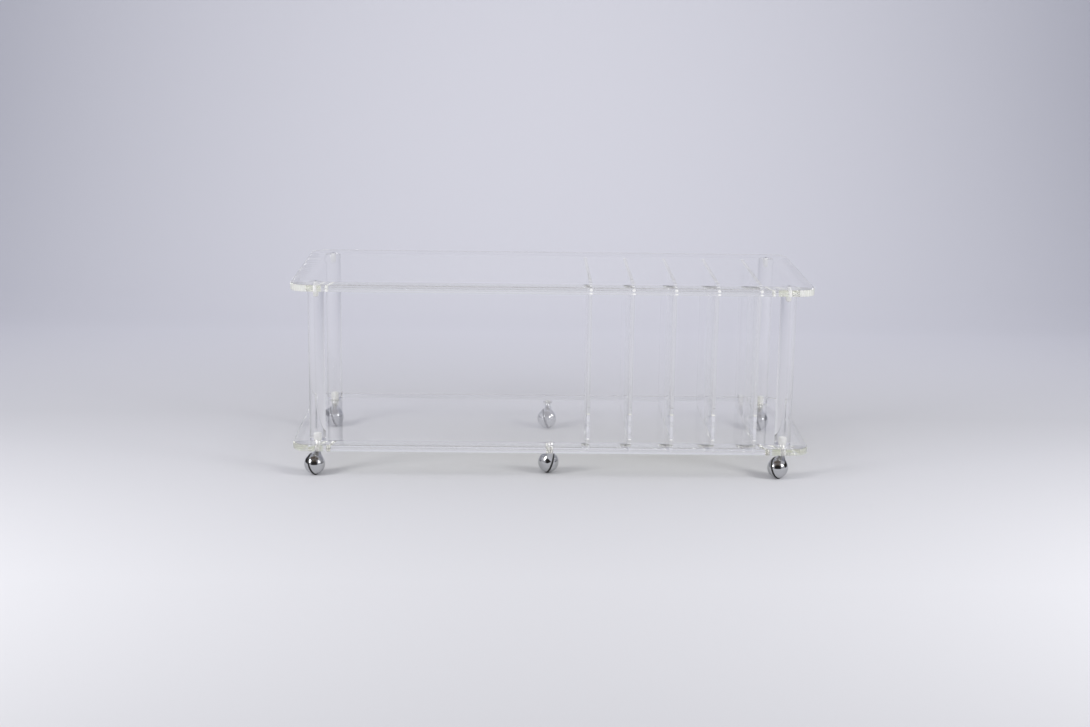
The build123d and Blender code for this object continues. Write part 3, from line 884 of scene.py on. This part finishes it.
# Painted light and shade along the paper: darker towards the camera, a painted shadow around the rack, and
# lighter at the back.
PAINTED_FALLOFF_TONES = [
    (0.0, (0.64, 0.64, 0.655, 1.0)), (0.375, (0.765, 0.765, 0.782, 1.0)),
    (0.72, (0.70, 0.70, 0.725, 1.0)), (1.0, (0.885, 0.887, 0.94, 1.0))]
PAINTED_SIDE_SHADE = (0.55, 0.56, 0.63, 1.0)
SIDE_SQUARED = 4.4
SIDE_START = -0.4
SIDE_FULL = 1.6
PAPER_FIBRES = 400.0
FIBRE_DEPTH = 0.01 * MM
sweep_path = [(SWEEP_FRONT, 0.0), (SWEEP_BEND, 0.0)]
for step in range(1, SWEEP_STEPS + 1):
    angle = QUARTER_TURN * step / SWEEP_STEPS
    sweep_path.append((SWEEP_BEND + SWEEP_RADIUS * math.sin(angle), SWEEP_RADIUS * (1 - math.cos(angle))))
sweep_path.append((SWEEP_BEND + SWEEP_RADIUS, SWEEP_TOP))
work = bmesh.new()
rows = [[work.verts.new((x, y, z)) for x in (-SWEEP_HALF, SWEEP_HALF)] for y, z in sweep_path]
for near, far in zip(rows, rows[1:]):
    work.faces.new((near[0], near[1], far[1], far[0]))
paper_sweep = link_piece("paper_sweep", finished_mesh(work, "paper_sweep"))
paper, wire = new_finish("sweep_paper")
paper_place = object_place(wire)
across = wire.node("ShaderNodeSeparateXYZ", None, {0: paper_place}, "X")
back = wire.node("ShaderNodeSeparateXYZ", None, {0: paper_place}, "Y")
# Painted shade darkens the paper towards its sides, more so further back.
painted_side_shade_share = fade(wire, across * across, 0.0, SIDE_SQUARED) * fade(wire, back, SIDE_START, SIDE_FULL)
painted_falloff = wire.node(
    "ShaderNodeValToRGB", {"stops": PAINTED_FALLOFF_TONES}, {"Fac": fade(wire, back, PAPER_FRONT, PAPER_BACK)}, "Color")
body = wire.node("ShaderNodeBsdfPrincipled", None, {
    "Base Color": mixed(wire, painted_side_shade_share, painted_falloff, PAINTED_SIDE_SHADE),
    "Roughness": 0.9,
    "Specular IOR Level": 0.1,
    "Normal": bump(wire, noise(wire, paper_place, PAPER_FIBRES, 3.0), FIBRE_DEPTH)})
behind = wire.node("ShaderNodeNewGeometry", None, None, "Backfacing")
unseen = wire.node("ShaderNodeBsdfTransparent")
surface = wire.node("ShaderNodeMixShader", None, {0: behind, 1: body, 2: unseen})
wire.node("ShaderNodeOutputMaterial", None, {"Surface": surface})
paper_sweep.data.materials.append(paper)
paper_sweep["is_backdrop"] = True

# Painted reflections: the dark room and brown ceiling are glowing cards seen only in reflections, the ceiling
# also through the acrylic.
PAINTED_REFLECTION_DARK = (0.03, 0.028, 0.027, 1.0)
PAINTED_REFLECTION_BROWN = (0.12, 0.095, 0.075, 1.0)
ROOM_FRONT = -4.6
ROOM_HALF = 3.2
ROOM_HEIGHT = 3.4
WALL_X = 2.7
WALL_FRONT = -0.6
WALL_BACK = 2.6
WALL_HEIGHT = 3.0
CEILING_HALF = 2.2
CEILING_BACK = 0.6


def painted_reflection_card(name, corners, colour, through=False):
    """A dim glowing card that only shows as a reflection, or also through the acrylic: a painted reflection
    of a dark room.
    """
    mesh = bpy.data.meshes.new(name)
    mesh.from_pydata(corners, [], [(0, 1, 2, 3)])
    card = link_piece(name, mesh)
    for ray in ("camera", "diffuse", "volume_scatter", "shadow"):
        setattr(card, f"visible_{ray}", False)
    card.visible_transmission = through
    material, wire = new_finish(name)
    painted_reflection_glow = wire.node("ShaderNodeEmission", None, {"Color": colour, "Strength": 1.0})
    wire.node("ShaderNodeOutputMaterial", None, {"Surface": painted_reflection_glow})
    card.data.materials.append(material)
    card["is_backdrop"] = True


# The painted reflections of the dark room in front, its side walls and the brown ceiling.
painted_reflection_card("painted_reflection_room", [
    (-ROOM_HALF, ROOM_FRONT, 0.0), (ROOM_HALF, ROOM_FRONT, 0.0),
    (ROOM_HALF, ROOM_FRONT, ROOM_HEIGHT), (-ROOM_HALF, ROOM_FRONT, ROOM_HEIGHT)], PAINTED_REFLECTION_DARK)
for side, x in (("left", -WALL_X), ("right", WALL_X)):
    painted_reflection_card(f"dark_{side}", [
        (x, WALL_FRONT, 0.0), (x, WALL_BACK, 0.0),
        (x, WALL_BACK, WALL_HEIGHT), (x, WALL_FRONT, WALL_HEIGHT)], PAINTED_REFLECTION_DARK)
painted_reflection_card("painted_reflection_ceiling", [
    (-CEILING_HALF, ROOM_FRONT, ROOM_HEIGHT), (CEILING_HALF, ROOM_FRONT, ROOM_HEIGHT),
    (CEILING_HALF, CEILING_BACK, ROOM_HEIGHT), (-CEILING_HALF, CEILING_BACK, ROOM_HEIGHT)],
    PAINTED_REFLECTION_BROWN, through=True)

LAMP_X = 2.1
LAMP_Y = -1.3
LAMP_Z = 1.4
LAMP_AIM = Vector((0.0, -0.2, 0.2))
LAMP_WIDTH = 0.7
LAMP_HEIGHT = 0.9
LAMP_POWER = 29.0
for side, x in (("left", -LAMP_X), ("right", LAMP_X)):
    lamp = bpy.data.lights.new(f"{side}_lamp", "AREA")
    lamp.shape = "RECTANGLE"
    lamp.size = LAMP_WIDTH
    lamp.size_y = LAMP_HEIGHT
    lamp.energy = LAMP_POWER
    holder = bpy.data.objects.new(f"{side}_lamp", lamp)
    holder.location = (x, LAMP_Y, LAMP_Z)
    holder.rotation_euler = (LAMP_AIM - holder.location).to_track_quat("-Z", "Y").to_euler()
    holder.visible_camera = False
    bpy.context.scene.collection.objects.link(holder)

ROOM_LIGHT = (0.56, 0.56, 0.595, 1.0)
world = bpy.data.worlds.new("room")
bpy.context.scene.world = world
world.use_nodes = True
world.node_tree.nodes.clear()
wire = Wire(world.node_tree)
room_light = wire.node("ShaderNodeBackground", None, {"Color": ROOM_LIGHT, "Strength": 1.0})
wire.node("ShaderNodeOutputWorld", None, {"Surface": room_light})

# Camera: a longer than normal lens well in front of the rack, a little above it and tipped down.
# Light may pass many faces of the acrylic, so that more bounces than usual are followed.
LENS = 58.758
SENSOR_WIDTH = 36.0
CAMERA_PLACE = Vector((-0.07463, -3.57891, 0.99958))
PITCH = 0.22296
YAW = -0.01798
ROLL = 0.01413
ACRYLIC_BOUNCES = 64
STRAIGHT_PASSES = 32
camera = bpy.data.cameras.new("camera")
camera.lens = LENS
camera.sensor_width = SENSOR_WIDTH
camera.sensor_fit = "HORIZONTAL"
viewer = bpy.data.objects.new("camera", camera)
bpy.context.scene.collection.objects.link(viewer)
right = Vector((math.cos(YAW), math.sin(YAW), 0.0))
level_ahead = Vector((-math.sin(YAW), math.cos(YAW), 0.0))
ahead = level_ahead * math.cos(PITCH) - Vector((0.0, 0.0, math.sin(PITCH)))
up = right.cross(ahead)
rolled_right = right * math.cos(ROLL) + up * math.sin(ROLL)
rolled_up = up * math.cos(ROLL) - right * math.sin(ROLL)
aim = Matrix((rolled_right, rolled_up, -ahead)).transposed()
viewer.matrix_world = Matrix.Translation(CAMERA_PLACE) @ aim.to_4x4()
bpy.context.scene.camera = viewer
bpy.context.scene.view_settings.view_transform = "Standard"
bpy.context.scene.cycles.glossy_bounces = ACRYLIC_BOUNCES
bpy.context.scene.cycles.transmission_bounces = ACRYLIC_BOUNCES
bpy.context.scene.cycles.max_bounces = ACRYLIC_BOUNCES
bpy.context.scene.cycles.transparent_max_bounces = STRAIGHT_PASSES

low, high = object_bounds()
